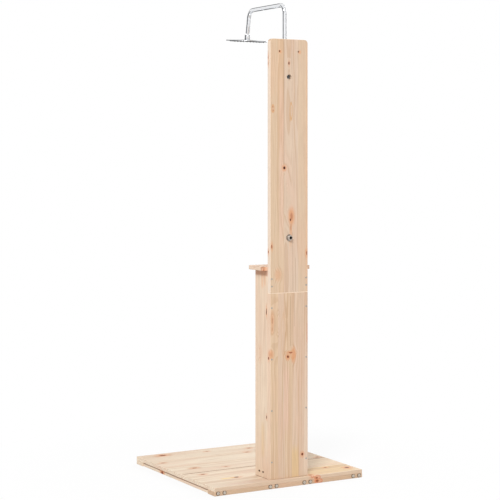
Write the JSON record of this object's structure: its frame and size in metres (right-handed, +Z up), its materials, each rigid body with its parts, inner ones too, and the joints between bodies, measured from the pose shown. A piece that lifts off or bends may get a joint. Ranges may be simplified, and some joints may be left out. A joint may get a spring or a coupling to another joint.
{
  "type": "outdoor shower post",
  "caption": "Free-standing garden shower: pine deck, boxed pine post with a shelf, and a chrome riser with a quarter-turn valve and a round rain head on a ball joint.",
  "frame": {"origin": "centre of the deck's underside, on the ground", "axes": "+Z up, -Y towards the bather, +Y towards the back of the post, +X to the bather's right as they face the post"},
  "size_m": [0.784, 0.8, 2.2],
  "materials": {
    "pine": "planed, untreated",
    "screw_steel": "zinc plated",
    "dark_steel": "blackened",
    "chrome_plate": "polished",
    "brass": "machined",
    "ceramic": "lapped ceramic",
    "seal_rubber": "moulded",
    "seat_plastic": "moulded",
    "nozzle_rubber": "moulded silicone"
  },
  "bodies": {
    "stand": {"deck_board_1": "pine", "deck_board_2": "pine", "deck_board_3": "pine", "deck_board_4": "pine", "deck_board_5": "pine", "left_outer_joist": "pine", "left_inner_joist": "pine", "right_inner_joist": "pine", "right_outer_joist": "pine", "front_cross_batten": "pine", "rear_cross_batten": "pine", "lower_back_board": "pine", "upper_back_board": "pine", "left_side_panel": "pine", "right_side_panel": "pine", "front_panel": "pine", "left_corner_batten": "pine", "right_corner_batten": "pine", "left_base_cleat": "pine", "right_base_cleat": "pine", "shelf": "pine", "left_towel_peg": "pine", "right_towel_peg": "pine", "deck_board_screws": "screw_steel", "joist_end_screws": "screw_steel", "cleat_deck_screws": "screw_steel", "short_screws": "screw_steel", "back_board_screws": "screw_steel", "shelf_screws": "screw_steel", "peg_screws": "screw_steel", "bracket_grub_screw": "screw_steel", "bracket_bolt": "dark_steel", "bracket_washer": "dark_steel", "riser_pipe": "chrome_plate", "pipe_coupling": "chrome_plate", "shower_arm": "chrome_plate", "pipe_bracket": "chrome_plate", "inlet_nipple": "chrome_plate", "inlet_washer": "chrome_plate", "inlet_locknut": "chrome_plate", "valve_body": "chrome_plate", "union_nut": "chrome_plate", "bonnet_nut": "chrome_plate", "ball_stem": "chrome_plate", "compression_olive": "brass", "cartridge_body": "brass", "fixed_ceramic_disc": "ceramic", "coupling_seals": "seal_rubber", "cartridge_seal": "seal_rubber"},
    "valve_handle": {"valve_lever": "chrome_plate", "lever_screw": "screw_steel", "lever_cap": "chrome_plate", "valve_spindle": "brass", "moving_ceramic_disc": "ceramic"},
    "ball_seat_ring": {"ball_seat": "seat_plastic"},
    "shower_head": {"collar_nut": "chrome_plate", "head_washer": "seal_rubber", "head_shell": "chrome_plate", "face_plate": "chrome_plate", "nozzle_sheet": "nozzle_rubber"}
  },
  "joints": [
    {"name": "valve_turn", "type": "hinge", "parent": "stand", "child": "valve_handle", "pos_m": [0, 0.3, 1.128], "axis": [0, 1, 0], "range_deg": [0, 90]},
    {"name": "head_tilt_fore", "type": "hinge", "parent": "stand", "child": "ball_seat_ring", "pos_m": [0, 0.00322, 2.07024], "axis": [1, 0, 0], "range_deg": [-22, 11]},
    {"name": "head_tilt_side", "type": "hinge", "parent": "ball_seat_ring", "child": "shower_head", "pos_m": [0, 0.00322, 2.07024], "axis": [0, 1, 0], "range_deg": [-9, 10]}
  ]
}
